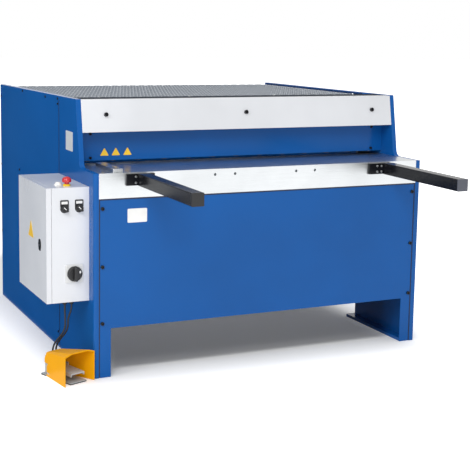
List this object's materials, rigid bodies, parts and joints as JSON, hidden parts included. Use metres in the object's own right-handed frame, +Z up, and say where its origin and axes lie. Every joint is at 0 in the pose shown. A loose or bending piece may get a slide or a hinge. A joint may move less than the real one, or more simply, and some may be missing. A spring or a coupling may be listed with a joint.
{
  "type": "motorized guillotine shear",
  "caption": "Motorized guillotine shear for sheet metal: plate side frames, steel table, raked moving blade under a guard, side cabinet, foot switch and support arms.",
  "frame": {"origin": "middle of the four anchor holes in the foot flanges, on the floor", "axes": "+X along the blades to the operator's right, +Y from the operator to the rear, +Z up"},
  "size_m": [1.481, 1.803, 0.962],
  "materials": {
    "blue_paint": "glossy",
    "white_paint": "satin",
    "dark_paint": "satin",
    "black_paint": "satin",
    "ground_steel": "ground",
    "blade_steel": "ground",
    "galvanised": "galvanised",
    "guide_iron": "machined",
    "black_plastic": "matte",
    "grey_plastic": "matte",
    "light_plastic": "satin",
    "red_plastic": "glossy",
    "yellow_plastic": "satin",
    "lamp_plastic": "glossy",
    "hood_paint": "satin",
    "pedal_metal": "cast",
    "cable_rubber": "matte"
  },
  "bodies": {
    "frame": {"left_frame": "blue_paint", "right_frame": "blue_paint", "table_beam": "ground_steel", "lower_blade": "blade_steel", "side_gauge": "ground_steel", "front_panel": "blue_paint", "front_cover": "white_paint", "top_beam": "blue_paint", "top_strip": "galvanised", "finger_guard": "blue_paint", "left_guide": "guide_iron", "right_guide": "guide_iron", "perforated_top": "galvanised", "left_rear_guard": "blue_paint", "right_rear_guard": "blue_paint", "rear_panel": "blue_paint", "delivery_chute": "galvanised", "lower_beam": "blue_paint", "rear_tie": "blue_paint", "left_arm": "black_paint", "right_arm": "black_paint", "left_bracket": "black_paint", "right_bracket": "black_paint", "left_arm_cap": "black_plastic", "right_arm_cap": "grey_plastic", "cabinet": "white_paint", "mounting_plate": "galvanised", "contactors": "light_plastic", "terminal_strip": "grey_plastic", "main_switch_plate": "light_plastic", "selector_plates": "black_plastic", "stop_collar": "yellow_plastic", "pilot_lamp": "lamp_plastic", "cable_glands": "black_plastic", "pedal_hood": "hood_paint", "pedal_base": "pedal_metal", "left_cable": "cable_rubber", "right_cable": "cable_rubber"},
    "ram": {"ram": "dark_paint", "upper_blade": "blade_steel"},
    "hold_down": {"hold_down": "dark_paint"},
    "door": {"cabinet_door": "white_paint"},
    "lock": {"door_lock": "black_plastic"},
    "main_switch": {"main_switch_handle": "black_plastic"},
    "left_selector": {"left_selector_knob": "black_plastic"},
    "right_selector": {"right_selector_knob": "black_plastic"},
    "stop_button": {"stop_button": "red_plastic"},
    "treadle": {"pedal_treadle": "pedal_metal"}
  },
  "joints": [
    {"name": "ram_stroke", "type": "slide", "parent": "frame", "child": "ram", "axis": [0, 0, 1], "range_m": [-0.056, 0]},
    {"name": "hold_down_stroke", "type": "slide", "parent": "frame", "child": "hold_down", "axis": [0, 0, 1], "range_m": [-0.0075, 0]},
    {"name": "door_hinge", "type": "hinge", "parent": "frame", "child": "door", "pos_m": [-0.797, 0.2155, 0.47], "axis": [0, 0, -1], "range_deg": [0, 120]},
    {"name": "lock_turn", "type": "hinge", "parent": "door", "child": "lock", "pos_m": [-0.815, -0.0715, 0.462], "axis": [-1, 0, 0], "range_deg": [0, 90]},
    {"name": "main_switch_turn", "type": "hinge", "parent": "frame", "child": "main_switch", "pos_m": [-0.717, -0.17, 0.37], "axis": [0, 1, 0], "range_deg": [0, 90]},
    {"name": "left_selector_turn", "type": "hinge", "parent": "frame", "child": "left_selector", "pos_m": [-0.751, -0.165, 0.5985], "axis": [0, 1, 0], "range_deg": [0, 90]},
    {"name": "right_selector_turn", "type": "hinge", "parent": "frame", "child": "right_selector", "pos_m": [-0.699, -0.165, 0.5985], "axis": [0, 1, 0], "range_deg": [0, 90]},
    {"name": "stop_press", "type": "slide", "parent": "frame", "child": "stop_button", "axis": [0, 0, 1], "range_m": [-0.004, 0]},
    {"name": "treadle_press", "type": "hinge", "parent": "frame", "child": "treadle", "pos_m": [-0.76356, -0.13109, 0.038], "axis": [0.9367, 0.3502, 0], "range_deg": [0, 6], "stiffness_Nm_per_rad": 8, "springref_deg": -2.86}
  ]
}
